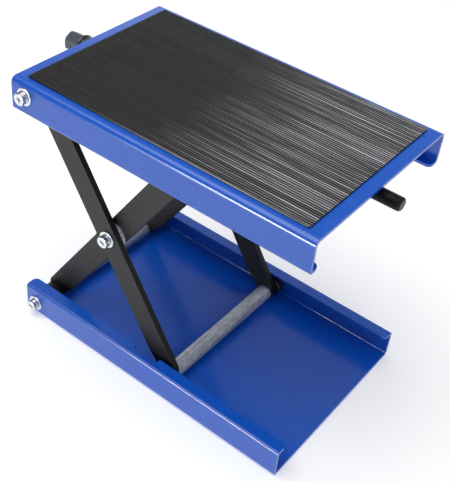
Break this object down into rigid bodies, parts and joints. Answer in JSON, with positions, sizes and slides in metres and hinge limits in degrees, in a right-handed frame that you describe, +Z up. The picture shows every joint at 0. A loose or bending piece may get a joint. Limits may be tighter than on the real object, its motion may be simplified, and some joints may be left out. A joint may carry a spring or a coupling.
{
  "type": "motorcycle scissor lift stand",
  "caption": "Screw-driven scissor stand: a ribbed rubber deck on crossed flat arms rises from a sheet channel base as a lead screw under the deck is turned at its drive hex.",
  "frame": {"origin": "centre of the base channel's underside, on the floor", "axes": "+X from the drive hex to the lead screw's free end, +Y across the stand, +Z up"},
  "size_m": [0.3997, 0.2392, 0.3052],
  "materials": {
    "blue_powder_coat": "glossy blue powder coat",
    "black_arm_paint": "satin black paint",
    "galvanised_tube": "galvanised, lightly streaked",
    "bright_zinc": "bright zinc plate",
    "dark_steel": "oiled machined steel",
    "black_oxide_screw": "black oxide",
    "ribbed_rubber": "matt ribbed rubber",
    "bearing_steel": "ground bearing steel"
  },
  "bodies": {
    "base": {"base_channel": "blue_powder_coat", "base_pivot_rod": "galvanised_tube", "base_pivot_spacers": "black_arm_paint", "base_pivot_washers": "bright_zinc", "base_pivot_lock_washers": "bright_zinc", "base_pivot_bolts": "bright_zinc"},
    "inner_arms": {"inner_arm_left": "black_arm_paint", "inner_arm_right": "black_arm_paint", "base_pivot_tube": "galvanised_tube", "centre_spacers": "galvanised_tube", "centre_washers": "bright_zinc", "centre_lock_washers": "bright_zinc", "centre_bolts": "bright_zinc", "centre_nuts": "bright_zinc"},
    "outer_arms": {"outer_arm_left": "black_arm_paint", "outer_arm_right": "black_arm_paint", "foot_tube": "galvanised_tube", "foot_axle": "galvanised_tube", "foot_spacers": "galvanised_tube", "foot_clips": "bright_zinc"},
    "foot_rollers": {"foot_rollers": "dark_steel"},
    "deck": {"deck_channel": "blue_powder_coat", "deck_pad": "ribbed_rubber", "thrust_bar": "dark_steel", "top_pivot_bushes": "dark_steel", "top_pivot_washers": "bright_zinc", "top_pivot_lock_washers": "bright_zinc", "top_pivot_bolts": "bright_zinc", "thrust_sleeve": "dark_steel", "thrust_race_deck": "bearing_steel", "thrust_balls": "bearing_steel", "thrust_cage": "bearing_steel"},
    "lead_screw": {"lead_screw": "black_oxide_screw", "drive_hex": "black_oxide_screw", "drive_pin": "bearing_steel", "thrust_race_screw": "bearing_steel", "keeper_ring": "dark_steel", "keeper_pin": "bearing_steel"},
    "nut_bar": {"lift_nut_bar": "dark_steel", "top_roller_spacers": "galvanised_tube", "top_roller_clips": "bright_zinc"},
    "top_rollers": {"top_rollers": "dark_steel"}
  },
  "joints": [
    {"name": "arm_lift", "type": "hinge", "parent": "base", "child": "inner_arms", "pos_m": [-0.161, 0, 0.0153], "axis": [0, -1, 0], "range_deg": [-45, 8]},
    {"name": "arm_cross", "type": "hinge", "parent": "inner_arms", "child": "outer_arms", "pos_m": [-0.07024, 0, 0.15191], "axis": [0, -1, 0], "range_deg": [-16.5, 90.5]},
    {"name": "deck_level", "type": "hinge", "parent": "outer_arms", "child": "deck", "pos_m": [-0.161, 0, 0.28852], "axis": [0, -1, 0], "range_deg": [-45.5, 8.5]},
    {"name": "nut_bar_level", "type": "hinge", "parent": "inner_arms", "child": "nut_bar", "pos_m": [0.02053, 0, 0.28852], "axis": [0, -1, 0], "range_deg": [-8.5, 45.5]},
    {"name": "screw_turn", "type": "hinge", "parent": "deck", "child": "lead_screw", "pos_m": [0, 0, 0.28852], "axis": [1, 0, 0], "continuous": true},
    {"name": "foot_roll", "type": "hinge", "parent": "outer_arms", "child": "foot_rollers", "pos_m": [0.02053, 0, 0.0153], "axis": [0, 1, 0], "continuous": true},
    {"name": "top_roll", "type": "hinge", "parent": "nut_bar", "child": "top_rollers", "pos_m": [0.02053, 0, 0.28852], "axis": [0, 1, 0], "continuous": true}
  ],
  "couplings": [
    {"joint": "arm_cross", "follows": "arm_lift", "ratio": -2},
    {"joint": "deck_level", "follows": "arm_lift", "ratio": 1},
    {"joint": "nut_bar_level", "follows": "arm_lift", "ratio": -1}
  ]
}
